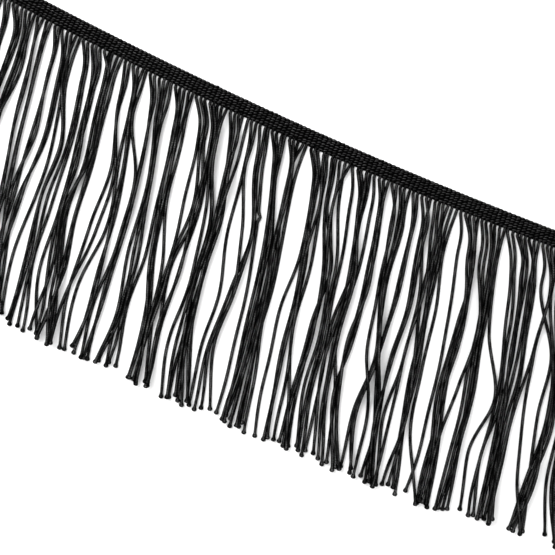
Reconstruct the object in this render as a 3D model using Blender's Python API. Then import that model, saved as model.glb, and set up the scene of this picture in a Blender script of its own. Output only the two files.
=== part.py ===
"""Tassel fringe trim: a knitted heading tape with a fringe of corded strands, a cut length lying on a flat surface.

Metres, +Z up. X runs along the heading, +Y points to the heading's free edge and the strands hang towards -Y.
"""
import math
import random

import bmesh
import bpy
import numpy as np

# Heading
HEADING_WIDTH = 0.0100
TAPE_WIDTH = 0.0080
TAPE_THICKNESS = 0.0020
GROOVE_THICKNESS = 0.0015
TAPE_RIBS = 5
PARTING = 0.0003
STRIP_THICKNESS = 0.0017
STRIP_EDGE_THICKNESS = 0.0013

# Lie of the trim: the heading bows gently and the strands lean to one side
TRIM_LENGTH = 0.3845
TRIM_START = -0.1838
STATIONS = 48
BOW_RADIUS = 2.62
LEAN = math.radians(12)
BOX_X = 0.0308764
BOX_Y = -0.0783189

# Strands
STRANDS = 154
PITCH = 0.0025
FIRST_ROOT = -0.1826
STRAND_WIDTH = 0.0016
STRAND_HEIGHT = 0.0014
BALL_WIDTH = 0.0027
BALL_HEIGHT = 0.0020
END_SHARE = 0.6
NECK_ABOVE_TIP = 0.0029
BALL_ABOVE_TIP = 0.0015
ROOT_DEPTH = 0.0093
ROOT_LIFT = 0.0002
ROOT_HEIGHT = 0.0010
RING_DEPTHS = (0.0155, 0.0290, 0.0470, 0.0665, 0.0870, 0.1080, 0.1300)
CLEARANCE = 0.00025
LAYOUT_SEED = 7
LAYING_SEED = 70

# Locks: strands that fell together, from left to right. One table unit is this long.
UNIT = 0.00108
# Depths below the heading's free edge at which each lock's middle is given
LOCK_DEPTHS = (30, 60, 90, 120)
# Columns: where the lock's roots end, its middle at the four depths, its middle at the tips
LOCKS = (
    (-163.0, -163.0, -164.5, -163.0, -161.0, -161.5),
    (-156.0, -158.5, -157.0, -158.5, -158.0, -155.5),
    (-149.5, -151.5, -152.0, -150.5, -149.0, -147.5),
    (-144.8, -145.0, -145.2, -143.2, -141.0, -140.0),
    (-137.9, -138.7, -140.3, -139.0, -137.0, -135.0),
    (-131.0, -134.2, -135.2, -136.0, -133.0, -130.0),
    (-127.2, -126.8, -127.2, -126.2, -123.4, -118.6),
    (-122.7, -123.5, -122.8, -122.6, -120.8, -114.6),
    (-117.0, -117.0, -117.8, -119.2, -118.0, -111.4),
    (-112.3, -112.0, -110.6, -114.7, -116.4, -113.4),
    (-110.0, -109.4, -105.9, -108.7, -112.7, -109.2),
    (-105.4, -108.0, -102.8, -105.0, -104.4, -105.5),
    (-103.1, -99.8, -100.2, -102.8, -102.2, -101.6),
    (-100.7, -98.4, -97.6, -99.7, -100.8, -98.3),
    (-98.4, -95.4, -94.3, -95.2, -98.1, -94.8),
    (-93.8, -93.8, -92.6, -93.2, -92.6, -93.0),
    (-87.0, -88.6, -88.0, -91.0, -88.9, -86.2),
    (-82.3, -85.6, -84.8, -86.2, -85.2, -91.4),
    (-80.0, -79.2, -72.4, -75.4, -82.4, -81.8),
    (-77.6, -78.0, -75.5, -78.0, -81.6, -79.6),
    (-75.4, -72.6, -71.0, -71.2, -77.0, -77.8),
    (-70.7, -71.6, -68.4, -69.2, -69.8, -73.2),
    (-68.4, -70.6, -62.8, -63.2, -68.2, -67.6),
    (-63.7, -62.5, -60.6, -62.0, -64.8, -65.8),
    (-61.4, -59.0, -55.6, -57.6, -56.0, -60.4),
    (-54.4, -56.8, -54.0, -53.6, -53.2, -56.4),
    (-52.2, -49.0, -48.4, -48.8, -51.2, -53.2),
    (-47.5, -47.6, -47.0, -45.0, -42.0, -44.2),
    (-45.3, -45.0, -46.0, -44.2, -40.4, -41.0),
    (-43.0, -43.8, -45.0, -40.8, -39.0, -40.0),
    (-40.6, -36.2, -35.8, -37.8, -38.4, -36.6),
    (-38.3, -33.8, -32.2, -35.6, -37.0, -40.4),
    (-36.0, -32.0, -30.2, -34.6, -34.6, -33.2),
    (-33.7, -30.2, -28.2, -30.4, -34.2, -35.2),
    (-31.4, -27.4, -21.6, -22.6, -22.6, -23.4),
    (-29.0, -28.4, -27.6, -29.8, -33.6, -34.2),
    (-26.7, -27.2, -24.5, -23.6, -28.7, -27.3),
    (-24.4, -26.2, -20.6, -21.8, -24.2, -24.6),
    (-19.7, -19.0, -19.0, -20.0, -21.0, -19.2),
    (-15.2, -17.4, -17.2, -18.4, -17.8, -14.0),
    (-12.8, -14.6, -18.0, -19.4, -19.8, -17.2),
    (-10.6, -10.3, -10.9, -9.4, -11.6, -12.2),
    (-8.2, -9.4, -4.5, -3.9, -7.2, -7.0),
    (-5.8, -4.0, 0.2, -4.2, -8.9, -10.6),
    (-3.5, -3.0, 1.4, -2.4, -5.4, -2.4),
    (-1.2, -1.4, 2.8, 2.6, 3.6, 0.6),
    (1.1, 4.6, 8.0, 7.0, 5.8, 2.6),
    (3.3, 5.4, 9.0, 9.2, 6.8, 4.2),
    (8.0, 6.8, 10.2, 10.8, 9.2, 6.4),
    (15.0, 13.2, 12.6, 13.2, 12.2, 11.6),
    (19.5, 15.6, 15.0, 15.8, 14.8, 15.4),
    (21.8, 26.0, 25.8, 21.4, 20.9, 21.4),
    (26.5, 27.2, 28.6, 27.6, 26.8, 26.2),
    (28.9, 30.0, 31.0, 29.6, 29.6, 30.4),
    (31.1, 31.0, 32.6, 30.8, 32.2, 38.0),
    (35.8, 34.3, 39.4, 39.2, 36.4, 34.0),
    (38.1, 37.2, 40.6, 41.6, 38.2, 36.6),
    (40.4, 40.2, 44.8, 44.8, 42.6, 43.4),
    (42.7, 38.4, 41.4, 42.6, 41.0, 42.0),
    (45.1, 46.2, 47.4, 45.6, 44.0, 45.6),
    (49.7, 51.2, 52.2, 48.6, 47.4, 48.0),
    (54.3, 52.6, 54.2, 51.4, 52.2, 53.8),
    (56.6, 56.4, 55.8, 52.6, 54.6, 57.4),
    (63.6, 61.0, 61.6, 58.5, 57.2, 62.6),
    (65.9, 68.6, 67.4, 68.2, 72.6, 70.2),
    (68.2, 69.6, 68.8, 72.8, 65.6, 64.4),
    (72.8, 72.0, 70.2, 73.2, 77.2, 75.8),
    (75.1, 73.6, 71.4, 73.6, 77.8, 77.4),
    (79.7, 78.2, 77.9, 73.4, 67.6, 68.8),
    (84.4, 84.0, 84.3, 80.0, 77.8, 79.0),
    (86.7, 86.0, 88.2, 85.2, 80.8, 83.0),
    (89.1, 89.4, 89.2, 87.3, 83.2, 80.2),
    (91.4, 90.8, 90.8, 89.6, 88.2, 86.2),
    (96.0, 93.2, 93.0, 91.8, 90.8, 89.8),
    (98.3, 96.0, 94.4, 92.8, 91.8, 91.0),
    (100.6, 97.2, 97.2, 94.4, 96.0, 102.8),
    (102.9, 103.8, 105.0, 104.0, 101.2, 96.6),
    (112.2, 111.0, 111.2, 107.6, 106.8, 106.4),
    (114.5, 115.8, 119.0, 115.0, 108.4, 104.6),
    (116.8, 117.8, 120.0, 118.0, 116.4, 112.8),
    (121.4, 120.8, 121.2, 120.2, 118.5, 115.8),
    (123.8, 122.8, 123.0, 124.0, 119.6, 118.2),
    (126.1, 124.2, 126.4, 132.2, 125.9, 124.6),
    (128.4, 132.2, 133.7, 134.5, 129.4, 129.0),
    (130.7, 134.0, 136.0, 136.0, 131.6, 130.4),
    (135.4, 137.2, 138.2, 137.6, 135.6, 133.4),
    (137.7, 140.2, 139.4, 137.4, 138.0, 137.4),
    (140.0, 142.2, 142.2, 141.6, 138.6, 136.2),
    (144.6, 143.8, 144.2, 142.6, 139.8, 139.0),
    (146.9, 149.2, 158.4, 155.8, 156.6, 155.4),
    (149.3, 152.2, 148.8, 148.7, 151.3, 153.6),
    (151.6, 152.6, 149.4, 143.4, 141.0, 139.8),
    (153.9, 154.6, 159.4, 159.2, 156.6, 150.8),
    (158.5, 157.6, 160.8, 161.0, 155.4, 149.2),
    (160.8, 160.6, 162.2, 162.4, 155.6, 153.6),
    (163.1, 163.6, 166.0, 165.8, 163.6, 167.0),
    (167.8, 167.0, 168.4, 168.8, 167.8, 171.4),
    (174.7, 172.4, 173.5, 172.0, 172.5, 174.6),
    (181.7, 178.6, 177.6, 178.4, 177.0, 179.4),
    (190.0, 184.4, 184.8, 183.0, 183.8, 184.2),
)
# Spacing of the strands inside a lock and how far each wanders, at the four depths and at the tips, in table units
LOCK_SPACING = (1.6, 1.5, 1.5, 1.6, 2.2)
WANDER = (0.12, 0.15, 0.15, 0.2, 0.3)
# Depth of the tips, how it varies, and where along the trim they start to rise towards the right-hand end
TIP_DEPTH = 150.3
TIP_VARIES = 2.0
TIP_RISE_FROM = 105.0
TIP_RISE = 0.075
TIP_RISE_MOST = 4.0
# Easing apart of strands that would lie on one another all along
EASE_ROUNDS = 10
EASE_SPACING = 1.75
EASE_SHARE = 0.5
CROSSING_SHARE = 0.35
SAMPLE_STEP = 0.00054
# Steps in which a strand is raised off those under it, and how near it may come
SETTLE_STEPS = 200
SETTLED = 0.00001


def curve(knots, values, at):
    """A smooth curve through the knots, whose slope at each comes from its neighbours."""
    knots = np.asarray(knots, float)
    values = np.asarray(values, float)
    width = np.diff(knots)
    step = np.diff(values) / width
    slope = np.empty(len(values))
    slope[1:-1] = (step[:-1] * width[1:] + step[1:] * width[:-1]) / (width[1:] + width[:-1])
    slope[0] = step[0]
    slope[-1] = step[-1]
    i = np.clip(np.searchsorted(knots, at) - 1, 0, len(step) - 1)
    t = (at - knots[i]) / width[i]
    start = (1 + 2 * t) * (1 - t) ** 2 * values[i] + t * (1 - t) ** 2 * width[i] * slope[i]
    return start + t * t * (3 - 2 * t) * values[i + 1] + t * t * (t - 1) * width[i] * slope[i + 1]


def lock_layout():
    """Each strand's place along the trim at its root, the four depths and its tip, and its length, in metres."""
    chance = random.Random(LAYOUT_SEED)
    roots = [(FIRST_ROOT + k * PITCH) / UNIT for k in range(STRANDS)]
    places = []
    lengths = []
    before = -math.inf
    for until, *middles in LOCKS:
        members = [root for root in roots if before < root <= until]
        before = until
        for rank, root in enumerate(members):
            side = rank - (len(members) - 1) / 2
            row = [root]
            for middle, spacing, wander in zip(middles, LOCK_SPACING, WANDER):
                row.append(middle + side * spacing + chance.gauss(0, wander))
            places.append(row)
            rise = min(max(root - TIP_RISE_FROM, 0) * TIP_RISE, TIP_RISE_MOST)
            lengths.append(TIP_DEPTH - rise + chance.uniform(-TIP_VARIES, TIP_VARIES))
    return ease_apart(np.array(places)) * UNIT, np.array(lengths) * UNIT


def ease_apart(places):
    """Pushes strands that run side by side a little apart, and leaves those that cross."""
    for _ in range(EASE_ROUNDS):
        for column in range(1, places.shape[1]):
            order = np.argsort(places[:, column], kind="stable")
            line = places[order, column]
            gap = np.diff(line)
            beside = gap > CROSSING_SHARE * EASE_SPACING
            push = np.where(beside, np.maximum(EASE_SPACING - gap, 0) * EASE_SHARE, 0)
            line[:-1] -= push / 2
            line[1:] += push / 2
            places[order, column] = line
    return places


def trim_point(along, depth):
    """Where a point that far along the heading and below its free edge lies, on the bowed trim."""
    turn = along / BOW_RADIUS
    reach = BOW_RADIUS + depth
    return reach * math.sin(turn) - BOX_X, BOW_RADIUS - reach * math.cos(turn) - BOX_Y


def strand_rings(places, length):
    """Depth, leaning place along the trim, width and height of a strand at each of its rings."""
    depths = np.array((ROOT_DEPTH, *RING_DEPTHS, length - NECK_ABOVE_TIP, length - BALL_ABOVE_TIP, length))
    knots = (HEADING_WIDTH, *(UNIT * depth for depth in LOCK_DEPTHS), length)
    along = curve(knots, places, np.maximum(depths, HEADING_WIDTH))
    widths = np.full(len(depths), STRAND_WIDTH)
    heights = np.full(len(depths), STRAND_HEIGHT)
    heights[0] = ROOT_HEIGHT
    widths[-2:] = BALL_WIDTH, STRAND_WIDTH * END_SHARE
    heights[-2:] = BALL_HEIGHT, STRAND_HEIGHT * END_SHARE
    return depths, along, widths, heights


def settle(grid, need, depths):
    """Lowest heights found for a strand's rings that keep it above what lies under it all along."""
    lift = np.zeros(len(depths))
    lift[0] = ROOT_LIFT
    for _ in range(SETTLE_STEPS):
        short = need - np.interp(grid, depths, lift)
        worst = int(np.argmax(short))
        if short[worst] <= SETTLED:
            break
        ring = min(int(np.searchsorted(depths, grid[worst])), len(depths) - 1)
        share = (grid[worst] - depths[ring - 1]) / (depths[ring] - depths[ring - 1])
        if ring == 1:
            lift[1] += short[worst] / share
            continue
        size = share ** 2 + (1 - share) ** 2
        lift[ring - 1] += short[worst] * (1 - share) / size
        lift[ring] += short[worst] * share / size
    lift[-2:] = lift[-3:].max()
    return lift


def lay_strands(rings):
    """Height of each strand's underside at its rings: strands laid later ride over those they cross."""
    deepest = max(depths[-1] for depths, *_ in rings)
    grid = np.arange(HEADING_WIDTH, deepest, SAMPLE_STEP)
    order = random.Random(LAYING_SEED).sample(range(len(rings)), len(rings))
    lean = math.cos(LEAN)
    laid = {}
    lifts = {}
    for name in order:
        depths, along, widths, heights = rings[name]
        place = np.where(grid <= depths[-1], np.interp(grid, depths, along), np.nan)
        half = np.interp(grid, depths, widths) / 2 / lean
        need = np.zeros(len(grid))
        for other_place, other_half, other_top, other_lift in laid.values():
            apart = np.abs(place - other_place)
            meets = apart < half + other_half + CLEARANCE
            slope = np.clip((apart - half - CLEARANCE) / other_half, 0, 1)
            over = other_lift + other_top * (1 - slope) + CLEARANCE
            need = np.where(meets, np.maximum(need, over), need)
        lift = settle(grid, need, depths)
        top = np.interp(grid, depths, heights)
        laid[name] = (place, half, top, np.interp(grid, depths, lift))
        lifts[name] = lift
    return lifts


def add_strand(mesh, ring, lift):
    """Adds a three-sided strand with a flat underside, closed at its root and at its rounded end."""
    depths, along, widths, heights = ring
    leaning = along + math.tan(LEAN) * np.maximum(depths - HEADING_WIDTH, 0)
    middles = [trim_point(s, d) for s, d in zip(leaning, depths)]
    corners = []
    for i, (x, y) in enumerate(middles):
        x0, y0 = middles[max(i - 1, 0)]
        x1, y1 = middles[min(i + 1, len(middles) - 1)]
        size = math.hypot(x1 - x0, y1 - y0)
        across_x = -(y1 - y0) / size * widths[i] / 2
        across_y = (x1 - x0) / size * widths[i] / 2
        left = mesh.verts.new((x - across_x, y - across_y, lift[i]))
        right = mesh.verts.new((x + across_x, y + across_y, lift[i]))
        crest = mesh.verts.new((x, y, lift[i] + heights[i]))
        corners.append((left, right, crest))
    for upper, lower in zip(corners, corners[1:]):
        for k in range(3):
            n = (k + 1) % 3
            mesh.faces.new((upper[k], upper[n], lower[n], lower[k]))
    mesh.faces.new(corners[0][::-1])
    mesh.faces.new(corners[-1])


def add_band(mesh, profile):
    """Sweeps a closed profile of (depth, height) points along the heading and closes its cut ends."""
    sections = []
    for station in range(STATIONS + 1):
        along = TRIM_START + TRIM_LENGTH * station / STATIONS
        section = []
        for depth, height in profile:
            x, y = trim_point(along, depth)
            section.append(mesh.verts.new((x, y, height)))
        sections.append(section)
    count = len(profile)
    for first, second in zip(sections, sections[1:]):
        for k in range(count):
            n = (k + 1) % count
            mesh.faces.new((first[k], first[n], second[n], second[k]))
    mesh.faces.new(sections[0][::-1])
    mesh.faces.new(sections[-1])


def tape_profile():
    """Flat underside and rounded ribs along the top, from the free edge down."""
    rib = TAPE_WIDTH / TAPE_RIBS
    shoulder = (TAPE_THICKNESS * 3 + GROOVE_THICKNESS) / 4
    points = [(0.0, 0.0), (0.0, GROOVE_THICKNESS)]
    for k in range(TAPE_RIBS):
        points.append((rib * (k + 0.25), shoulder))
        points.append((rib * (k + 0.5), TAPE_THICKNESS))
        points.append((rib * (k + 0.75), shoulder))
        points.append((rib * (k + 1), GROOVE_THICKNESS))
    points.append((TAPE_WIDTH, 0.0))
    return points


def strip_profile():
    """The lowest rib of the heading, which the strands hang from."""
    top = TAPE_WIDTH + PARTING
    middle = (top + HEADING_WIDTH) / 2
    return [
        (top, 0.0),
        (top, STRIP_EDGE_THICKNESS),
        (middle, STRIP_THICKNESS),
        (HEADING_WIDTH, STRIP_EDGE_THICKNESS),
        (HEADING_WIDTH, 0.0),
    ]


def finish(mesh, name, material):
    """Turns the faces outwards and makes the object."""
    bmesh.ops.recalc_face_normals(mesh, faces=mesh.faces)
    data = bpy.data.meshes.new(name)
    mesh.to_mesh(data)
    mesh.free()
    if material:
        data.materials.append(material)
    made = bpy.data.objects.new(name, data)
    bpy.context.scene.collection.objects.link(made)
    return made


def fibre(name, colour, roughness):
    material = bpy.data.materials.new(name)
    material.use_nodes = True
    shader = material.node_tree.nodes["Principled BSDF"]
    shader.inputs["Base Color"].default_value = (*colour, 1)
    shader.inputs["Roughness"].default_value = roughness
    return material


def build():
    for old in list(bpy.data.objects):
        bpy.data.objects.remove(old, do_unlink=True)

    tape = bmesh.new()
    add_band(tape, tape_profile())
    finish(tape, "heading", fibre("heading_knit", (0.012, 0.012, 0.013), 0.65))

    strip = bmesh.new()
    add_band(strip, strip_profile())
    fringe = finish(strip, "fringe", fibre("fringe_cord", (0.010, 0.010, 0.011), 0.42))

    places, lengths = lock_layout()
    rings = [strand_rings(row, length) for row, length in zip(places, lengths)]
    lifts = lay_strands(rings)
    cords = bmesh.new()
    for index, ring in enumerate(rings):
        add_strand(cords, ring, lifts[index])
    helper = finish(cords, "strands_to_join", None)
    helper.hide_render = True
    helper.display_type = "WIRE"

    joined = fringe.modifiers.new("strands", "BOOLEAN")
    joined.operation = "UNION"
    joined.solver = "EXACT"
    joined.object = helper


build()
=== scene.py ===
"""Tassel fringe trim: a cut length of black corded fringe on a knitted heading, lying flat.

Metres, +Z up. X runs along the heading, +Y points to the heading's free edge and the cords hang towards -Y.
"""
import math
import random

import bpy
import numpy as np
from bpy.props import FloatProperty, FloatVectorProperty, IntProperty, PointerProperty
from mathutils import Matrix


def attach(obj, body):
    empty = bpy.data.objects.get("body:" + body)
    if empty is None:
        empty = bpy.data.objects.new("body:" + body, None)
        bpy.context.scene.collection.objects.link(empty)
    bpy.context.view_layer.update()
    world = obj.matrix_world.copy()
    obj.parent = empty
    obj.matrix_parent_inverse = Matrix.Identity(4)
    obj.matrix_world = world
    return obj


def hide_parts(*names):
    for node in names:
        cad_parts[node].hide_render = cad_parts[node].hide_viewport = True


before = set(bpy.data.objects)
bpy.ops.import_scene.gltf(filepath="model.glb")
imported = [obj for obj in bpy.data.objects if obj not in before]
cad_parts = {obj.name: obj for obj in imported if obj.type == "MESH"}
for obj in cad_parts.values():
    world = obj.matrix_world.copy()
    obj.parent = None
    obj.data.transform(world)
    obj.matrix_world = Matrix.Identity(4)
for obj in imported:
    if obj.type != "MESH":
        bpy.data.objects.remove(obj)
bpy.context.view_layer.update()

bl_info = {
    "name": "Tassel Fringe Trim",
    "version": (1, 0, 0),
    "blender": (4, 5, 0),
    "location": "View3D > Sidebar > Fringe",
    "description": "Knitted heading, corded fringe and studio floor of a length of tassel fringe",
    "category": "Object",
}

MM = 0.001

# Lie of the trim: the heading bows gently and the cords lean to one side
HEADING_WIDTH = 0.0100
TRIM_LENGTH = 0.3845
TRIM_START = -0.1838
BOW_RADIUS = 2.62
LEAN = math.radians(12)
# Middle of the trim's footprint, measured from the heading's free edge at place 0 along it
BOX_X = 0.0308764
BOX_Y = -0.0783189
CORDS = 154
PITCH = 0.0025
FIRST_ROOT = -0.1826
# Seeds: places in the locks, gathering, order of laying, small waves, stitches, and each cord's tone
LAYOUT_SEED = 368
GATHER_SEED = 88
LAYING_SEED = 70
WAVE_SEED = 349
STITCH_SEED = 11
TONE_SEED = 23

# Locks: cords that fell together, from left to right. One table unit is this long.
UNIT = 0.00108
# Depths below the heading's free edge at which each lock's middle is given
LOCK_DEPTHS = (30, 60, 90, 120)
# Columns: where the lock's roots end, its middle at the four depths, its middle at the tips
LOCKS = (
    (-163.0, -163.0, -164.5, -163.0, -161.0, -161.5),
    (-156.0, -158.5, -157.0, -158.5, -158.0, -155.5),
    (-149.5, -151.5, -152.0, -150.5, -149.0, -147.5),
    (-144.8, -145.0, -145.2, -143.2, -141.0, -140.0),
    (-137.9, -138.7, -140.3, -139.0, -137.0, -135.0),
    (-131.0, -134.2, -135.2, -136.0, -133.0, -130.0),
    (-127.2, -126.8, -127.2, -126.2, -123.4, -118.6),
    (-122.7, -123.5, -122.8, -122.6, -120.8, -114.6),
    (-117.0, -117.0, -117.8, -119.2, -118.0, -111.4),
    (-112.3, -112.0, -110.6, -114.7, -116.4, -113.4),
    (-110.0, -109.4, -105.9, -108.7, -112.7, -109.2),
    (-105.4, -108.0, -102.8, -105.0, -104.4, -105.5),
    (-103.1, -99.8, -100.2, -102.8, -102.2, -101.6),
    (-100.7, -98.4, -97.6, -99.7, -100.8, -98.3),
    (-98.4, -95.4, -94.3, -95.2, -98.1, -94.8),
    (-93.8, -93.8, -92.6, -93.2, -92.6, -93.0),
    (-87.0, -88.6, -88.0, -91.0, -88.9, -86.2),
    (-82.3, -85.6, -84.8, -86.2, -85.2, -91.4),
    (-80.0, -79.2, -72.4, -75.4, -82.4, -81.8),
    (-77.6, -78.0, -75.5, -78.0, -81.6, -79.6),
    (-75.4, -72.6, -71.0, -71.2, -77.0, -77.8),
    (-70.7, -71.6, -68.4, -69.2, -69.8, -73.2),
    (-68.4, -70.6, -62.8, -63.2, -68.2, -67.6),
    (-63.7, -62.5, -60.6, -62.0, -64.8, -65.8),
    (-61.4, -59.0, -55.6, -57.6, -56.0, -60.4),
    (-54.4, -56.8, -54.0, -53.6, -53.2, -56.4),
    (-52.2, -49.0, -48.4, -48.8, -51.2, -53.2),
    (-47.5, -47.6, -47.0, -45.0, -42.0, -44.2),
    (-45.3, -45.0, -46.0, -44.2, -40.4, -41.0),
    (-43.0, -43.8, -45.0, -40.8, -39.0, -40.0),
    (-40.6, -36.2, -35.8, -37.8, -38.4, -36.6),
    (-38.3, -33.8, -32.2, -35.6, -37.0, -40.4),
    (-36.0, -32.0, -30.2, -34.6, -34.6, -33.2),
    (-33.7, -30.2, -28.2, -30.4, -34.2, -35.2),
    (-31.4, -27.4, -21.6, -22.6, -22.6, -23.4),
    (-29.0, -28.4, -27.6, -29.8, -33.6, -34.2),
    (-26.7, -27.2, -24.5, -23.6, -28.7, -27.3),
    (-24.4, -26.2, -20.6, -21.8, -24.2, -24.6),
    (-19.7, -19.0, -19.0, -20.0, -21.0, -19.2),
    (-15.2, -17.4, -17.2, -18.4, -17.8, -14.0),
    (-12.8, -14.6, -18.0, -19.4, -19.8, -17.2),
    (-10.6, -10.3, -10.9, -9.4, -11.6, -12.2),
    (-8.2, -9.4, -4.5, -3.9, -7.2, -7.0),
    (-5.8, -4.0, 0.2, -4.2, -8.9, -10.6),
    (-3.5, -3.0, 1.4, -2.4, -5.4, -2.4),
    (-1.2, -1.4, 2.8, 2.6, 3.6, 0.6),
    (1.1, 4.6, 8.0, 7.0, 5.8, 2.6),
    (3.3, 5.4, 9.0, 9.2, 6.8, 4.2),
    (8.0, 6.8, 10.2, 10.8, 9.2, 6.4),
    (15.0, 13.2, 12.6, 13.2, 12.2, 11.6),
    (19.5, 15.6, 15.0, 15.8, 14.8, 15.4),
    (21.8, 26.0, 25.8, 21.4, 20.9, 21.4),
    (26.5, 27.2, 28.6, 27.6, 26.8, 26.2),
    (28.9, 30.0, 31.0, 29.6, 29.6, 30.4),
    (31.1, 31.0, 32.6, 30.8, 32.2, 38.0),
    (35.8, 34.3, 39.4, 39.2, 36.4, 34.0),
    (38.1, 37.2, 40.6, 41.6, 38.2, 36.6),
    (40.4, 40.2, 44.8, 44.8, 42.6, 43.4),
    (42.7, 38.4, 41.4, 42.6, 41.0, 42.0),
    (45.1, 46.2, 47.4, 45.6, 44.0, 45.6),
    (49.7, 51.2, 52.2, 48.6, 47.4, 48.0),
    (54.3, 52.6, 54.2, 51.4, 52.2, 53.8),
    (56.6, 56.4, 55.8, 52.6, 54.6, 57.4),
    (63.6, 61.0, 61.6, 58.5, 57.2, 62.6),
    (65.9, 68.6, 67.4, 68.2, 72.6, 70.2),
    (68.2, 69.6, 68.8, 72.8, 65.6, 64.4),
    (72.8, 72.0, 70.2, 73.2, 77.2, 75.8),
    (75.1, 73.6, 71.4, 73.6, 77.8, 77.4),
    (79.7, 78.2, 77.9, 73.4, 67.6, 68.8),
    (84.4, 84.0, 84.3, 80.0, 77.8, 79.0),
    (86.7, 86.0, 88.2, 85.2, 80.8, 83.0),
    (89.1, 89.4, 89.2, 87.3, 83.2, 80.2),
    (91.4, 90.8, 90.8, 89.6, 88.2, 86.2),
    (96.0, 93.2, 93.0, 91.8, 90.8, 89.8),
    (98.3, 96.0, 94.4, 92.8, 91.8, 91.0),
    (100.6, 97.2, 97.2, 94.4, 96.0, 102.8),
    (102.9, 103.8, 105.0, 104.0, 101.2, 96.6),
    (112.2, 111.0, 111.2, 107.6, 106.8, 106.4),
    (114.5, 115.8, 119.0, 115.0, 108.4, 104.6),
    (116.8, 117.8, 120.0, 118.0, 116.4, 112.8),
    (121.4, 120.8, 121.2, 120.2, 118.5, 115.8),
    (123.8, 122.8, 123.0, 124.0, 119.6, 118.2),
    (126.1, 124.2, 126.4, 132.2, 125.9, 124.6),
    (128.4, 132.2, 133.7, 134.5, 129.4, 129.0),
    (130.7, 134.0, 136.0, 136.0, 131.6, 130.4),
    (135.4, 137.2, 138.2, 137.6, 135.6, 133.4),
    (137.7, 140.2, 139.4, 137.4, 138.0, 137.4),
    (140.0, 142.2, 142.2, 141.6, 138.6, 136.2),
    (144.6, 143.8, 144.2, 142.6, 139.8, 139.0),
    (146.9, 149.2, 158.4, 155.8, 156.6, 155.4),
    (149.3, 152.2, 148.8, 148.7, 151.3, 153.6),
    (151.6, 152.6, 149.4, 143.4, 141.0, 139.8),
    (153.9, 154.6, 159.4, 159.2, 156.6, 150.8),
    (158.5, 157.6, 160.8, 161.0, 155.4, 149.2),
    (160.8, 160.6, 162.2, 162.4, 155.6, 153.6),
    (163.1, 163.6, 166.0, 165.8, 163.6, 167.0),
    (167.8, 167.0, 168.4, 168.8, 167.8, 171.4),
    (174.7, 172.4, 173.5, 172.0, 172.5, 174.6),
    (181.7, 178.6, 177.6, 178.4, 177.0, 179.4),
    (190.0, 184.4, 184.8, 183.0, 183.8, 184.2),
)
# Spacing of the cords in a lock and how far each wanders, at the four depths and the tips, in table units
LOCK_SPACING = (1.1, 1.05, 1.05, 1.1, 1.9)
WANDER = (0.3, 0.42, 0.42, 0.42, 0.6)
# How readily the cords of a lock change places, in places, on the way to each of those depths
SHUFFLE = (0.5, 1.5, 1.5, 1.5, 1.5)
# At each depth some cords stray out of their lock: their share, and how many times as far as the rest they go
STRAY_SHARE = 0.2
STRAY = 3.5
# Near the heading the cords gather into their locks: the depth, the share of the way to the first of the four
# depths' places, and how far each wanders there and at its root
GATHER_DEPTH = 18.0
GATHER_SHARE = 0.75
GATHER_WANDER = 0.4
ROOT_WANDER = 0.22
# Depth of the tips and how far it varies, and the place along the trim from which they rise, how steeply, and how
# far at most
TIP_DEPTH = 151.0
TIP_VARIES = 2.4
TIP_RISE_FROM = 105.0
TIP_RISE = 0.075
TIP_RISE_MOST = 4.0
# One cord is snagged out of line: its place along the trim, the depth, how far out and half the snag's length
SNAG = (3.0, 50.5, 1.15, 1.5)

# Sealed end of a cord: distance back from its tip in millimetres, and thickness there as a share of the cord's
END_SHAPE = (
    (12.0, 1.00),
    (10.0, 0.97),
    (8.0, 0.94),
    (6.0, 0.91),
    (4.4, 0.90),
    (2.9, 0.91),
    (2.3, 1.03),
    (1.8, 1.30),
    (1.35, 1.50),
    (0.9, 1.54),
    (0.5, 1.36),
    (0.2, 0.95),
    (0.05, 0.50),
    (0.0, 0.10),
)
# Depth of each row of chain stitches below the heading's free edge, in millimetres
STITCH_ROWS = (0.50, 1.72, 3.05, 4.55, 6.08, 7.62)
# One chain stitch of the heading, a closed loop of yarn: along the tape in courses, and across it and up in
# millimetres
STITCH_LOOP = (
    (-0.12, 0.46, -0.05),
    (0.02, 0.34, 0.34),
    (0.20, 0.12, 0.56),
    (0.40, -0.12, 0.62),
    (0.58, -0.25, 0.57),
    (0.73, -0.22, 0.36),
    (0.82, -0.06, 0.02),
    (0.78, 0.10, -0.22),
    (0.52, 0.12, -0.27),
    (0.24, 0.20, -0.27),
    (-0.02, 0.40, -0.24),
)

# Knit of a cord: wales round it, how far the stitches' legs slant, in stitches, and how sharp the grooves are
# between the wales
CORD_WALES = 5.0
CORD_SLANT = 0.55
CORD_GROOVE_POWER = 4.0
# Relief left between the legs of a cord's stitches, which also sets the painted shade there, tone of the darkest
# cord, and colour left in the grain of the heading's yarn
CORD_LEAST_RELIEF = 0.2
CORD_LEAST_TONE = 0.5
STITCH_LEAST_GRAIN = 0.6
# The gloss of a cord is worn in streaks: how often they change round it, along it and from cord to cord
STREAKS_ROUND = 3.0
STREAKS_ALONG = 0.27
STREAKS_BY_TONE = 60.0
# Range of the streaks' noise, and the gloss at either end of it
STREAK_NOISE = (0.4, 0.66)
STREAK_GLOSS = (0.2, 2.1)
# Fine grain of the fibres, in grains to the metre
CORD_GRAIN = 2600.0
STITCH_GRAIN = 2200.0
TAPE_GRAIN = 2400.0
# Share of the grain that is added to the cord's knit, and share of the tape's knit that is added to its grain
CORD_GRAIN_SHARE = 0.35
TAPE_KNIT_SHARE = 0.4
# Height of each relief
CORD_RELIEF = 0.00016
STITCH_RELIEF = 0.00012
TAPE_RELIEF = 0.00015
# Stitches of the knit on the tape's back to each course and row, and the relief at which it has its full colour,
# below which painted shade darkens it
TAPE_KNITS = 2
TAPE_FULL_RELIEF = 1.2
# Range in which most of a grain's noise lies
GRAIN_RANGE = (0.3, 0.7)
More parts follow.
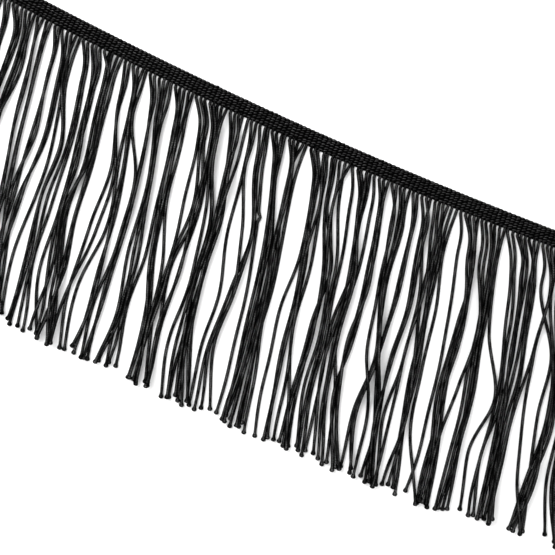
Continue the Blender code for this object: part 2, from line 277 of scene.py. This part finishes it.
# How much the roughness falls and rises over the grain, and the tape's own roughness and gloss
CORD_ROUGHNESS_SPREAD = (-0.06, 0.08)
STITCH_ROUGHNESS_SPREAD = (-0.05, 0.08)
TAPE_ROUGHNESS = (0.62, 0.80)
TAPE_GLOSS = 0.01
# How fast a highlight fades as the fibres turn from the eye, and the share of the gloss for a reader of the
# material that doesn't work this out
FACING_POWER = 4.5
PLAIN_GLOSS_SHARE = 1 / 3


def curve(knots, values, at):
    """A smooth curve through the knots, whose slope at each comes from its neighbours."""
    knots = np.asarray(knots, float)
    values = np.asarray(values, float)
    width = np.diff(knots)
    step = np.diff(values) / width
    slope = np.empty(len(values))
    slope[1:-1] = (step[:-1] * width[1:] + step[1:] * width[:-1]) / (width[1:] + width[:-1])
    slope[0] = step[0]
    slope[-1] = step[-1]
    i = np.clip(np.searchsorted(knots, at) - 1, 0, len(step) - 1)
    t = (at - knots[i]) / width[i]
    start = (1 + 2 * t) * (1 - t) ** 2 * values[i] + t * (1 - t) ** 2 * width[i] * slope[i]
    return start + t * t * (3 - 2 * t) * values[i + 1] + t * t * (t - 1) * width[i] * slope[i + 1]


def lock_layout():
    """Each cord's places at its root, its gathering, the four depths and its tip, and the depth of its tip."""
    chance = random.Random(LAYOUT_SEED)
    gather = random.Random(GATHER_SEED)
    roots = [(FIRST_ROOT + k * PITCH) / UNIT for k in range(CORDS)]
    places = []
    lengths = []
    before = -math.inf
    for until, *middles in LOCKS:
        members = [root for root in roots if before < root <= until]
        before = until
        order = list(range(len(members)))
        columns = []
        for middle, spacing, wander, shuffle in zip(middles, LOCK_SPACING, WANDER, SHUFFLE):
            swapped = [(place + chance.gauss(0, shuffle), cord) for place, cord in enumerate(order)]
            order = [cord for _, cord in sorted(swapped)]
            side = [order.index(cord) - (len(members) - 1) / 2 for cord in range(len(members))]
            reach = [wander * (STRAY if chance.random() < STRAY_SHARE else 1) for _ in members]
            columns.append([middle + place * spacing + chance.gauss(0, far)
                            for place, far in zip(side, reach)])
        for root, *row in zip(members, *columns):
            near = root + (row[0] - root) * GATHER_SHARE + gather.gauss(0, GATHER_WANDER)
            places.append([root + gather.gauss(0, ROOT_WANDER), near, *row])
            rise = min(max(root - TIP_RISE_FROM, 0) * TIP_RISE, TIP_RISE_MOST)
            lengths.append(TIP_DEPTH - rise + chance.uniform(-TIP_VARIES, TIP_VARIES))
    return np.array(places) * UNIT, np.array(lengths) * UNIT


def trim_points(along, depth, height):
    """Points that far along the heading, below its free edge and above the surface, on the bowed trim."""
    turn = np.asarray(along) / BOW_RADIUS
    reach = BOW_RADIUS + np.asarray(depth)
    x = reach * np.sin(turn) - BOX_X
    y = BOW_RADIUS - reach * np.cos(turn) - BOX_Y
    return np.stack(np.broadcast_arrays(x, y, height), axis=-1)


def highest_within(values, reach):
    """The highest value within that many samples either way."""
    padded = np.pad(values, reach, mode="edge")
    return np.max(np.lib.stride_tricks.sliding_window_view(padded, 2 * reach + 1), axis=-1)


def mean_within(values, reach):
    """The mean within that many samples either way."""
    padded = np.pad(values, reach, mode="edge")
    return np.mean(np.lib.stride_tricks.sliding_window_view(padded, 2 * reach + 1), axis=-1)


def cord_thickness(depth, length, diameter):
    """Radius of a cord at those depths, with its sealed end."""
    back = [row[0] * MM for row in reversed(END_SHAPE)]
    share = [row[1] for row in reversed(END_SHAPE)]
    return diameter / 2 * np.interp(length - depth, back, share)


def clear_selection():
    """Leaves nothing selected, so that an operator acts only on what is picked next."""
    if bpy.context.object and bpy.context.object.mode != "OBJECT":
        bpy.ops.object.mode_set(mode="OBJECT")
    bpy.ops.object.select_all(action="DESELECT")


def pick(obj):
    """Leaves only this object selected, and makes it the active one."""
    clear_selection()
    obj.select_set(True)
    bpy.context.view_layer.objects.active = obj


def face_outward(obj):
    """Turns every face of a mesh piece outwards and shades it smooth."""
    pick(obj)
    bpy.ops.object.mode_set(mode="EDIT")
    bpy.ops.mesh.select_all(action="SELECT")
    bpy.ops.mesh.normals_make_consistent(inside=False)
    bpy.ops.object.mode_set(mode="OBJECT")
    bpy.ops.object.shade_smooth()


def finish_piece(obj, material, body):
    """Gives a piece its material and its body."""
    obj.data.materials.clear()
    obj.data.materials.append(material)
    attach(obj, body)


class Nodes:
    """Shorthand for building a material's node tree."""

    def __init__(self, name):
        self.material = bpy.data.materials.new(name)
        self.material.use_nodes = True
        self.tree = self.material.node_tree
        self.shader = self.tree.nodes["Principled BSDF"]

    def link(self, source, socket):
        self.tree.links.new(source, socket)

    def add(self, kind, *inputs, **settings):
        node = self.tree.nodes.new(kind)
        for name, value in settings.items():
            setattr(node, name, value)
        for socket, value in zip(node.inputs, inputs):
            if isinstance(value, bpy.types.NodeSocket):
                self.link(value, socket)
            else:
                socket.default_value = value
        return node

    def math(self, operation, *inputs):
        return self.add("ShaderNodeMath", *inputs, operation=operation).outputs[0]

    def remap(self, value, low, high, new_low, new_high):
        return self.add("ShaderNodeMapRange", value, low, high, new_low, new_high).outputs[0]

    def blend_colour(self, share, first, second):
        node = self.tree.nodes.new("ShaderNodeMix")
        node.data_type = "RGBA"
        self.link(share, node.inputs["Factor"])
        for name, value in (("A", first), ("B", second)):
            socket = next(s for s in node.inputs if s.name == name and s.type == "RGBA")
            socket.default_value = (*value, 1)
        return next(s for s in node.outputs if s.type == "RGBA")

    def noise(self, place, scale, detail):
        node = self.add("ShaderNodeTexNoise", place, noise_dimensions="3D")
        node.inputs["Scale"].default_value = scale
        node.inputs["Detail"].default_value = detail
        return node.outputs[0]

    def grain(self, scale, detail=2.0):
        """Fine noise that is fixed to the piece."""
        return self.noise(self.add("ShaderNodeTexCoord").outputs["Object"], scale, detail)

    def tone(self):
        """The tone that each cord or stitch was given; a stitch's tone also holds painted shade, darker low in
        its loop.
        """
        return self.add("ShaderNodeAttribute", attribute_name="tone").outputs["Fac"]

    def bump(self, height, distance):
        node = self.tree.nodes.new("ShaderNodeBump")
        node.inputs["Distance"].default_value = distance
        self.link(height, node.inputs["Height"])
        self.link(node.outputs["Normal"], self.shader.inputs["Normal"])

    def fibre_gloss(self, gloss, relief):
        """Highlights only where the fibres face the eye and stand up: loose fibres have no grazing shine."""
        facing = self.math("SUBTRACT", 1.0, self.add("ShaderNodeLayerWeight", 0.5).outputs["Facing"])
        shine = self.math("MULTIPLY", self.math("POWER", facing, FACING_POWER), relief)
        level = self.math("MULTIPLY", shine, gloss)
        self.shader.inputs["Specular IOR Level"].default_value = gloss * PLAIN_GLOSS_SHARE
        self.link(level, self.shader.inputs["Specular IOR Level"])


def cord_material(colour, dark, roughness, gloss):
    """Softly glossy knitted cord: V-shaped chain stitches with painted shade in their grooves, a fine fibre grain
    and a tone for each cord.
    """
    nodes = Nodes("cord_yarn")
    uv = nodes.add("ShaderNodeUVMap", uv_map="cord")
    around, along, _ = nodes.add("ShaderNodeSeparateXYZ", uv.outputs[0]).outputs
    wale = nodes.math("FRACT", nodes.math("MULTIPLY", around, CORD_WALES))
    fold = nodes.math("MULTIPLY", nodes.math("ABSOLUTE", nodes.math("SUBTRACT", wale, 0.5)), 2.0)
    phase = nodes.math("ADD", along, nodes.math("MULTIPLY", fold, CORD_SLANT))
    leg = nodes.math("SINE", nodes.math("MULTIPLY", phase, 2 * math.pi))
    leg = nodes.remap(leg, -1.0, 1.0, 0.0, 1.0)
    ridge = nodes.math("SUBTRACT", 1.0, nodes.math("POWER", fold, CORD_GROOVE_POWER))
    relief = nodes.math("MULTIPLY", nodes.remap(leg, 0.0, 1.0, CORD_LEAST_RELIEF, 1.0), ridge)
    grain = nodes.grain(CORD_GRAIN)
    nodes.bump(nodes.math("ADD", relief, nodes.math("MULTIPLY", grain, CORD_GRAIN_SHARE)), CORD_RELIEF)
    tone = nodes.tone()
    # Painted shade: the colour darkens where the relief is low, in the grooves between the wales and between the
    # legs, scaled by each cord's own tone
    share = nodes.math("MULTIPLY", relief, nodes.remap(tone, 0.0, 1.0, CORD_LEAST_TONE, 1.0))
    nodes.link(nodes.blend_colour(share, dark, colour), nodes.shader.inputs["Base Color"])
    rough = nodes.remap(grain, *GRAIN_RANGE, *(roughness + change for change in CORD_ROUGHNESS_SPREAD))
    nodes.link(rough, nodes.shader.inputs["Roughness"])
    streak = nodes.add(
        "ShaderNodeCombineXYZ",
        nodes.math("MULTIPLY", around, STREAKS_ROUND),
        nodes.math("MULTIPLY", along, STREAKS_ALONG),
        nodes.math("MULTIPLY", tone, STREAKS_BY_TONE),
    ).outputs[0]
    worn = nodes.remap(nodes.noise(streak, scale=1.0, detail=3.0), *STREAK_NOISE, *STREAK_GLOSS)
    nodes.fibre_gloss(gloss, nodes.math("MULTIPLY", relief, worn))
    return nodes.material


def stitch_material(colour, dark, roughness, gloss):
    """The heading's yarn: a fine twist along each loop, and a tone for each stitch with painted shade low in the
    loop.
    """
    nodes = Nodes("stitch_yarn")
    grain = nodes.grain(STITCH_GRAIN, detail=3.0)
    nodes.bump(grain, STITCH_RELIEF)
    tone = nodes.tone()
    share = nodes.math("MULTIPLY", tone, nodes.remap(grain, *GRAIN_RANGE, STITCH_LEAST_GRAIN, 1.0))
    nodes.link(nodes.blend_colour(share, dark, colour), nodes.shader.inputs["Base Color"])
    rough = nodes.remap(grain, *GRAIN_RANGE, *(roughness + change for change in STITCH_ROUGHNESS_SPREAD))
    nodes.link(rough, nodes.shader.inputs["Roughness"])
    nodes.fibre_gloss(gloss, tone)
    return nodes.material


def tape_material(colour, dark):
    """The ground of the heading, painted dark as shade between the stitches and darker in the hollows of its
    relief, with a fine knit on its back.
    """
    nodes = Nodes("tape_ground")
    uv = nodes.add("ShaderNodeUVMap", uv_map="tape")
    along, across, _ = nodes.add("ShaderNodeSeparateXYZ", uv.outputs[0]).outputs
    course = nodes.math("SINE", nodes.math("MULTIPLY", along, TAPE_KNITS * 2 * math.pi))
    row = nodes.math("SINE", nodes.math("MULTIPLY", across, TAPE_KNITS * 2 * math.pi))
    knit = nodes.math("MULTIPLY", course, row)
    grain = nodes.grain(TAPE_GRAIN)
    height = nodes.math("ADD", nodes.math("MULTIPLY", knit, TAPE_KNIT_SHARE), grain)
    nodes.bump(height, TAPE_RELIEF)
    # Painted shade: the tape's colour darkens where its knit and grain are low
    share = nodes.remap(height, 0.0, TAPE_FULL_RELIEF, 0.0, 1.0)
    nodes.link(nodes.blend_colour(share, dark, colour), nodes.shader.inputs["Base Color"])
    nodes.link(nodes.remap(grain, *GRAIN_RANGE, *TAPE_ROUGHNESS), nodes.shader.inputs["Roughness"])
    nodes.shader.inputs["Specular IOR Level"].default_value = TAPE_GLOSS
    return nodes.material


class HeadingSettings(bpy.types.PropertyGroup):
    """Sizes and colours of the knitted heading."""

    width: FloatProperty(name="Width", description="Width of the knitted tape", default=0.0088, unit="LENGTH")
    ground: FloatProperty(name="Ground", description="Thickness of the tape under its stitches",
                          default=0.0012, unit="LENGTH")
    rib: FloatProperty(name="Rib", description="Rise of the tape over each cord knitted into it",
                       default=0.0003, unit="LENGTH")
    scallop: FloatProperty(name="Scallop", description="How far each course stands out of the free edge",
                           default=0.00035, unit="LENGTH")
    yarn: FloatProperty(name="Yarn", description="Thickness of the stitches' yarn",
                        default=0.00068, unit="LENGTH")
    colour: FloatVectorProperty(name="Colour", description="Colour of the stitches' yarn",
                                default=(0.0036, 0.0036, 0.0037), subtype="COLOR", min=0, max=1)
    # Painted shade: the colour of the tape's ground in its hollows and of the stitches' shaded low parts
    shade: FloatVectorProperty(name="Shade", description="Colour deep between the stitches",
                               default=(0.0004, 0.0004, 0.0004), subtype="COLOR", min=0, max=1)
    roughness: FloatProperty(name="Roughness", description="Roughness of the yarn",
                             default=0.28, subtype="FACTOR")
    gloss: FloatProperty(name="Gloss", description="Strength of the yarn's highlights",
                         default=0.7, subtype="FACTOR")


class CordSettings(bpy.types.PropertyGroup):
    """Sizes and colours of the fringe's cords."""

    diameter: FloatProperty(name="Diameter", description="Thickness of a cord", default=0.0018, unit="LENGTH")
    squeeze: FloatProperty(name="Squeeze", default=0.9, subtype="FACTOR",
                           description="How near two cords may lie, as a share of their thickness")
    sides: IntProperty(name="Sides", description="Faces round a cord, an even number",
                       default=10, min=6, max=16)
    step: FloatProperty(name="Step", description="Distance between the rings of a cord",
                        default=0.0013, unit="LENGTH")
    stitch: FloatProperty(name="Stitch", description="Length of one chain stitch of a cord",
                          default=0.0013, unit="LENGTH")
    wave: FloatProperty(name="Wave", description="Small sideways wave of a cord",
                        default=0.0003, unit="LENGTH")
    colour: FloatVectorProperty(name="Colour", description="Colour of the cord's yarn",
                                default=(0.0014, 0.0014, 0.0015), subtype="COLOR", min=0, max=1)
    # Painted shade in the grooves of the cord's stitches
    shade: FloatVectorProperty(name="Shade", description="Colour between the cord's stitches",
                               default=(0.00012, 0.00012, 0.00012), subtype="COLOR", min=0, max=1)
    roughness: FloatProperty(name="Roughness", description="Roughness of the cord",
                             default=0.27, subtype="FACTOR")
    gloss: FloatProperty(name="Gloss", description="Strength of the yarn's highlights",
                         default=0.5, subtype="FACTOR")


class StageSettings(bpy.types.PropertyGroup):
    """Floor, light and camera."""

    floor: FloatVectorProperty(name="Floor", description="Colour of the floor",
                               default=(0.92, 0.92, 0.92), subtype="COLOR", min=0, max=1)
    key: FloatProperty(name="Key", description="Power of the large light", default=7.5, unit="POWER")
    surround: FloatProperty(name="Surround", description="Strength of the even light all round", default=1.3)
    view_width: FloatProperty(name="View width", description="Width of floor that the camera sees",
                              default=0.2997, unit="LENGTH")
    centre: FloatVectorProperty(name="Centre", description="Point of the floor in the middle of the view",
                                default=(0.0040, -0.0018), size=2, subtype="TRANSLATION")
    turn: FloatProperty(name="Turn", description="Turn of the camera about its view",
                        default=math.radians(24.447), subtype="ANGLE")
    lens: FloatProperty(name="Lens", description="Focal length in millimetres", default=90.0)


class TRIM_OT_tape(bpy.types.Operator):
    """Make the ground of the knitted heading, ribbed over the cords that are knitted into it"""

    bl_idname = "trim.tape"
    bl_label = "Heading tape"

    # Lines of the tape's grid: to a course along it, and across its width
    per_course = 6
    across = 20
    # How sharply the ribs stand out, the share of the width over which the scallops fade, and the depth of the
    # grooves as a share of the ribs' rise
    rib_power = 0.7
    scallop_share = 0.25
    groove_share = 0.6
    # Least share of the rounding at an edge, so that the tape keeps a thickness there
    least_round = 0.02
    # Brightness of the ground as a share of the stitches' colour, painted dark as shade between the stitches
    painted_shade_share = 0.2

    def execute(self, context):
        look = context.scene.trim_heading
        stations = int(round(TRIM_LENGTH / PITCH * self.per_course)) + 1
        clear_selection()
        bpy.ops.mesh.primitive_grid_add(x_subdivisions=stations - 1, y_subdivisions=self.across - 1, size=1)
        tape = context.object
        tape.name = tape.data.name = "heading_tape"
        bpy.ops.object.mode_set(mode="OBJECT")
        wall = tape.modifiers.new("wall", "SOLIDIFY")
        wall.thickness = look.ground
        wall.offset = -1
        bpy.ops.object.modifier_apply(modifier=wall.name)

        points = np.empty(len(tape.data.vertices) * 3)
        tape.data.vertices.foreach_get("co", points)
        points = points.reshape(-1, 3)
        along = TRIM_START + TRIM_LENGTH * (points[:, 0] + 0.5)
        share = points[:, 1] + 0.5
        top = points[:, 2] > -look.ground / 2
        course = (along - FIRST_ROOT) / PITCH
        rib = np.abs(np.cos(np.pi * course)) ** self.rib_power
        depth = look.width * share - look.scallop * rib * np.clip(1 - share / self.scallop_share, 0, 1)
        # Both long edges and both cut ends are rounded over
        edge = np.minimum(np.minimum(share, 1 - share) * look.width,
                          np.minimum(points[:, 0] + 0.5, 0.5 - points[:, 0]) * TRIM_LENGTH)
        round_over = np.sqrt(np.clip(edge / (look.ground / 2), self.least_round, 1))
        row = np.interp(look.width * share, np.array(STITCH_ROWS) * MM, range(len(STITCH_ROWS)))
        groove = 0.5 - 0.5 * np.cos(2 * np.pi * row)
        rise = look.ground + look.rib * rib - look.rib * self.groove_share * groove
        height = rise * (0.5 + 0.5 * round_over)
        floor = look.ground / 2 * (1 - round_over)
        placed = trim_points(along, depth, np.where(top, height, floor))
        tape.data.vertices.foreach_set("co", placed.ravel())
        uv = tape.data.uv_layers.new(name="tape")
        corner = np.empty(len(tape.data.loops), int)
        tape.data.loops.foreach_get("vertex_index", corner)
        places = np.stack((course[corner], share[corner] * len(STITCH_ROWS)), axis=-1)
        uv.data.foreach_set("uv", places.ravel())
        for old in [layer.name for layer in tape.data.uv_layers if layer.name != "tape"]:
            tape.data.uv_layers.remove(tape.data.uv_layers[old])
        face_outward(tape)
        ground = tape_material([tint * self.painted_shade_share for tint in look.colour], look.shade)
        finish_piece(tape, ground, "root")
        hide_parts("heading")
        return {"FINISHED"}


class TRIM_OT_stitches(bpy.types.Operator):
    """Work one chain stitch of yarn and repeat it in every course and row of the heading"""

    bl_idname = "trim.stitches"
    bl_label = "Heading stitches"

    # How far a stitch starts before its cord, in courses
    lead = 0.4
    # How far the stitches vary in slope and in size, and in millimetres along the tape, across it and in height
    slope_varies = 0.10
    size_varies = 0.04
    along_varies = 0.12
    across_varies = 0.08
    height_varies = 0.03
    # Painted shade on the low parts of each stitch: the height in millimetres from which the yarn's colour is
    # lit, the height over which that grows, and the least of it
    painted_lit_from = 0.35
    painted_lit_over = 0.45
    least_painted_lit = 0.03
    # Range of the stitches' own tones
    tone_range = (0.4, 1.1)

    def execute(self, context):
        look = context.scene.trim_heading
        yarn = bpy.data.curves.new("stitch", "CURVE")
        yarn.dimensions = "3D"
        yarn.bevel_depth = look.yarn / 2
        yarn.bevel_resolution = 1
        line = yarn.splines.new("POLY")
        line.points.add(len(STITCH_LOOP) - 1)
        line.use_cyclic_u = True
        for point, (u, v, w) in zip(line.points, STITCH_LOOP):
            point.co = (u * PITCH, v * MM, w * MM, 1)
        pattern = bpy.data.objects.new("stitch", yarn)
        context.scene.collection.objects.link(pattern)
        pick(pattern)
        bpy.ops.object.convert(target="MESH")
        mesh = context.object.data
        shape = np.array([v.co for v in mesh.vertices])
        faces = np.array([list(f.vertices) for f in mesh.polygons])
        bpy.data.objects.remove(context.object, do_unlink=True)

        chance = np.random.default_rng(STITCH_SEED)
        # Painted shade: each loop's colour darkens towards its bottom, down to the least share
        painted_lighting = np.clip((shape[:, 2] / MM - self.painted_lit_from) / self.painted_lit_over, self.least_painted_lit, 1)
        points = []
        tones_with_painted_shade = []
        for row_depth in STITCH_ROWS:
            for course in range(CORDS):
                swing = chance.normal(0, self.slope_varies)
                u, v, w = shape.T * (1 + chance.normal(0, self.size_varies))
                start = FIRST_ROOT + (course - self.lead) * PITCH
                along = start + u - v * swing + chance.normal(0, self.along_varies) * MM
                depth = row_depth * MM + v + u * swing + chance.normal(0, self.across_varies) * MM
                height = look.ground + w + chance.normal(0, self.height_varies) * MM
                points.append(trim_points(along, depth, height))
                # A stitch's tone is its own random tone times the painted shade low in its loop
                tones_with_painted_shade.append(painted_lighting * chance.uniform(*self.tone_range))
        count = len(points)
        turns = (faces[None] + np.arange(count)[:, None, None] * len(shape)).reshape(-1, faces.shape[1])
        data = bpy.data.meshes.new("heading_stitches")
        data.from_pydata(np.concatenate(points), [], turns)
        data.attributes.new("tone", "FLOAT", "POINT").data.foreach_set("value", np.concatenate(tones_with_painted_shade))
        stitches = bpy.data.objects.new("heading_stitches", data)
        context.scene.collection.objects.link(stitches)
        face_outward(stitches)
        material = stitch_material(look.colour, look.shade, look.roughness, look.gloss)
        finish_piece(stitches, material, "root")
        return {"FINISHED"}


class TRIM_OT_cords(bpy.types.Operator):
    """Lay the fringe's cords one over another in the locks in which they fell"""

    bl_idname = "trim.cords"
    bl_label = "Fringe cords"

    # Name of each piece, its first cord and the one after its last
    pieces = (("cords_left", 0, 52), ("cords_middle", 52, 103), ("cords_right", 103, CORDS))
    # Depth at which the cords start, hidden in the heading, and the share of their thickness in their first rings
    root_depth = 0.0076
    neck = (0.86, 0.93)
    # Step of the depths at which the cords are laid over one another
    grid_step = 0.0005
    # Lengths of the small waves, which grow over the next depth and start half of it down
    wavelengths = (0.110, 0.074, 0.050)
    wave_ramp = 0.02
    wave_start = 0.5
    # Cords further apart than this all along don't touch, and a tip still lifts the cords this far beyond it
    out_of_reach = 0.006
    beyond_tip = 0.001
    # A lifted cord comes down slowly: samples either way that it stays up, and over which this is smoothed, twice
    lift_reach = 10
    smooth_reach = (8, 6)

    def lay(self, look, places, lengths):
        """Sides and heights of the cords on a grid of depths: cords laid later ride over those they cross."""
        grid = np.arange(self.root_depth, lengths.max() + self.grid_step, self.grid_step)
        order = random.Random(LAYING_SEED).sample(range(CORDS), CORDS)
        sides = np.array([
            curve((HEADING_WIDTH, *(UNIT * depth for depth in (GATHER_DEPTH, *LOCK_DEPTHS)), length), row,
                  np.clip(grid, HEADING_WIDTH, length))
            for row, length in zip(places, lengths)
        ])
        chance = np.random.default_rng(WAVE_SEED)
        grown = np.clip(grid / self.wave_ramp - self.wave_start, 0, 1)
        for side in sides:
            phase = chance.uniform(0, 2 * math.pi, len(self.wavelengths))
            for turn, wavelength in zip(phase, self.wavelengths):
                side += look.wave * np.sin(grid / wavelength * 2 * math.pi + turn) * grown
        along, depth, out, half = (UNIT * value for value in SNAG)
        snagged = np.argmin(np.abs(sides[:, np.searchsorted(grid, depth)] - along))
        sides[snagged] += out * np.exp(-(((grid - depth) / half) ** 2))
        thick = np.array([cord_thickness(grid, length, look.diameter) for length in lengths])
        heights = np.zeros((CORDS, len(grid)))
        laid = []
        for cord in order:
            need = thick[cord].copy()
            for other in laid:
                apart = np.abs(sides[cord] - sides[other]) * math.cos(LEAN)
                if apart.min() > self.out_of_reach:
                    continue
                near = (thick[cord] + thick[other]) * look.squeeze
                there = (apart < near) & (grid <= min(lengths[cord], lengths[other]) + self.beyond_tip)
                over = heights[other] + np.sqrt(np.maximum(near ** 2 - apart ** 2, 0))
                need = np.where(there, np.maximum(need, over), need)
            lifted = highest_within(need, self.lift_reach)
            for reach in self.smooth_reach:
                lifted = mean_within(lifted, reach)
            heights[cord] = lifted
            laid.append(cord)
        return grid, sides, heights

    def execute(self, context):
        look = context.scene.trim_cords
        places, lengths = lock_layout()
        grid, sides, heights = self.lay(look, places, lengths)
        chance = np.random.default_rng(TONE_SEED)
        material = cord_material(look.colour, look.shade, look.roughness, look.gloss)
        back = np.array([row[0] * MM for row in END_SHAPE])
        for name, first, last in self.pieces:
            strands = bpy.data.curves.new(name, "CURVE")
            strands.dimensions = "3D"
            strands.twist_mode = "Z_UP"
            strands.bevel_depth = look.diameter / 2
            # A round bevel has four faces, and two more for each step of its resolution
            strands.bevel_resolution = (look.sides - 4) // 2
            travelled = []
            for cord in range(first, last):
                length = lengths[cord]
                body = np.arange(self.root_depth, length - back[0] - look.step / 2, look.step)
                depths = np.concatenate((body, length - back))
                along = np.interp(depths, grid, sides[cord])
                leaning = along + math.tan(LEAN) * np.maximum(depths - HEADING_WIDTH, 0)
                height = np.interp(depths, grid, heights[cord])
                points = trim_points(leaning, depths, height)
                thick = cord_thickness(depths, length, look.diameter) / (look.diameter / 2)
                thick[:len(self.neck)] = self.neck
                line = strands.splines.new("POLY")
                line.points.add(len(points) - 1)
                line.points.foreach_set("co", np.column_stack((points, np.ones(len(points)))).ravel())
                line.points.foreach_set("radius", thick)
                walk = np.concatenate(([0], np.cumsum(np.linalg.norm(np.diff(points, axis=0), axis=1))))
                travelled.append(walk / look.stitch + chance.uniform(0, 1))
            obj = bpy.data.objects.new(name, strands)
            context.scene.collection.objects.link(obj)
            pick(obj)
            bpy.ops.object.convert(target="MESH")
            obj = context.object
            bpy.ops.object.mode_set(mode="EDIT")
            bpy.ops.mesh.select_all(action="SELECT")
            bpy.ops.mesh.fill_holes(sides=look.sides)
            bpy.ops.object.mode_set(mode="OBJECT")
            face_outward(obj)
            self.unroll(obj.data, travelled, look.sides, chance)
            finish_piece(obj, material, "root")
        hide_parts("fringe")
        return {"FINISHED"}

    def unroll(self, mesh, travelled, sides, chance):
        """Gives each cord a map of the way round and the way along it, and a tone of its own."""
        rings = np.concatenate([np.repeat(walk, sides) for walk in travelled])
        if len(rings) != len(mesh.vertices):
            raise RuntimeError(f"{len(rings)} ring points against {len(mesh.vertices)} vertices")
        points = np.empty(len(mesh.vertices) * 3)
        mesh.vertices.foreach_get("co", points)
        shape = points.reshape(-1, sides, 3)
        out = shape - shape.mean(axis=1, keepdims=True)
        ahead = np.cross(out[:, 0], out[:, 1])
        sideways = np.stack((-ahead[:, 1], ahead[:, 0]), axis=-1)
        across = (sideways / np.linalg.norm(ahead[:, :2], axis=-1, keepdims=True))[:, None]
        angle = np.arctan2((out[:, :, :2] * across).sum(axis=-1), out[:, :, 2])
        round_it = (angle / (2 * math.pi) + 0.5).ravel() * sides
        tone = np.concatenate([np.full(len(walk) * sides, chance.uniform(0, 1)) for walk in travelled])
        mesh.attributes.new("tone", "FLOAT", "POINT").data.foreach_set("value", tone)
        corner = np.empty(len(mesh.loops), int)
        mesh.loops.foreach_get("vertex_index", corner)
        start = np.empty(len(mesh.polygons), int)
        total = np.empty(len(mesh.polygons), int)
        mesh.polygons.foreach_get("loop_start", start)
        mesh.polygons.foreach_get("loop_total", total)
        face = np.repeat(np.arange(len(start)), total)
        place = round_it[corner]
        # A side face across the map's seam has its low corners moved a full turn on, and the end caps don't
        lowest = np.minimum.reduceat(place, start)[face]
        highest = np.maximum.reduceat(place, start)[face]
        wraps = (highest - lowest > sides / 2) & (place < sides / 2) & (total[face] == 4)
        place[wraps] += sides
        for old in [layer.name for layer in mesh.uv_layers]:
            mesh.uv_layers.remove(mesh.uv_layers[old])
        uv = mesh.uv_layers.new(name="cord")
        uv.data.foreach_set("uv", np.stack((place / sides, rings[corner]), axis=-1).ravel())


class TRIM_OT_declare(bpy.types.Operator):
    """Does nothing: it finishes at once without naming any piece or size"""

    bl_idname = "trim.declare"
    bl_label = "Cloth sizes"

    def execute(self, context):
        return {"FINISHED"}


class TRIM_OT_stage(bpy.types.Operator):
    """Put down the white floor, the soft light and the camera straight above"""

    bl_idname = "trim.stage"
    bl_label = "Stage"

    # Width of the floor, and how far it lies below the trim so that the two don't coincide
    floor_width = 14.0
    floor_drop = 0.00005
    floor_roughness = 0.9
    floor_gloss = 0.1
    # The large light: its width, its height, how far it stands from the view's middle, and in which direction,
    # anticlockwise from the camera's right
    key_width = 0.45
    key_height = 0.9
    key_away = 0.55
    key_side = math.radians(135)
    # Width of the camera's sensor in millimetres
    sensor_width = 36

    def execute(self, context):
        look = context.scene.trim_stage
        clear_selection()
        bpy.ops.mesh.primitive_plane_add(size=self.floor_width, location=(0, 0, -self.floor_drop))
        floor = context.object
        floor.name = "floor"
        nodes = Nodes("white_floor")
        nodes.shader.inputs["Base Color"].default_value = (*look.floor, 1)
        nodes.shader.inputs["Roughness"].default_value = self.floor_roughness
        nodes.shader.inputs["Specular IOR Level"].default_value = self.floor_gloss
        floor.data.materials.append(nodes.material)

        world = bpy.data.worlds.new("soft_studio")
        world.use_nodes = True
        background = world.node_tree.nodes["Background"]
        background.inputs["Color"].default_value = (1, 1, 1, 1)
        background.inputs["Strength"].default_value = look.surround
        context.scene.world = world

        x, y = look.centre
        toward = look.turn + self.key_side
        lamp = bpy.data.lights.new("soft_key", "AREA")
        lamp.shape = "DISK"
        lamp.size = self.key_width
        lamp.energy = look.key
        key = bpy.data.objects.new("soft_key", lamp)
        reach = self.key_away
        key.location = (x + reach * math.cos(toward), y + reach * math.sin(toward), self.key_height)
        key.rotation_euler = (math.atan2(reach, self.key_height), 0, toward + math.pi / 2)
        context.scene.collection.objects.link(key)

        lens = bpy.data.cameras.new("camera")
        lens.lens = look.lens
        lens.sensor_width = self.sensor_width
        camera = bpy.data.objects.new("camera", lens)
        camera.location = (x, y, look.view_width * look.lens / lens.sensor_width)
        camera.rotation_euler = (0, 0, look.turn)
        context.scene.collection.objects.link(camera)
        context.scene.camera = camera
        context.scene.view_settings.view_transform = "Standard"
        return {"FINISHED"}


class TRIM_PT_panel(bpy.types.Panel):
    """Tassel fringe trim"""

    bl_label = "Tassel Fringe Trim"
    bl_idname = "TRIM_PT_panel"
    bl_space_type = "VIEW_3D"
    bl_region_type = "UI"
    bl_category = "Fringe"

    def draw(self, context):
        for settings in (context.scene.trim_heading, context.scene.trim_cords, context.scene.trim_stage):
            box = self.layout.box()
            for name in settings.__annotations__:
                box.prop(settings, name)
        for operator in OPERATORS:
            self.layout.operator(operator.bl_idname)


OPERATORS = (TRIM_OT_stage, TRIM_OT_tape, TRIM_OT_stitches, TRIM_OT_cords, TRIM_OT_declare)
SETTINGS = (HeadingSettings, CordSettings, StageSettings)


def register():
    for each in (*SETTINGS, *OPERATORS, TRIM_PT_panel):
        bpy.utils.register_class(each)
    bpy.types.Scene.trim_heading = PointerProperty(type=HeadingSettings)
    bpy.types.Scene.trim_cords = PointerProperty(type=CordSettings)
    bpy.types.Scene.trim_stage = PointerProperty(type=StageSettings)


def unregister():
    del bpy.types.Scene.trim_heading
    del bpy.types.Scene.trim_cords
    del bpy.types.Scene.trim_stage
    for each in reversed((*SETTINGS, *OPERATORS, TRIM_PT_panel)):
        bpy.utils.unregister_class(each)


def main():
    register()
    bpy.ops.trim.stage()
    bpy.ops.trim.tape()
    bpy.ops.trim.stitches()
    bpy.ops.trim.cords()
    bpy.ops.trim.declare()


if __name__ == "__main__":
    main()
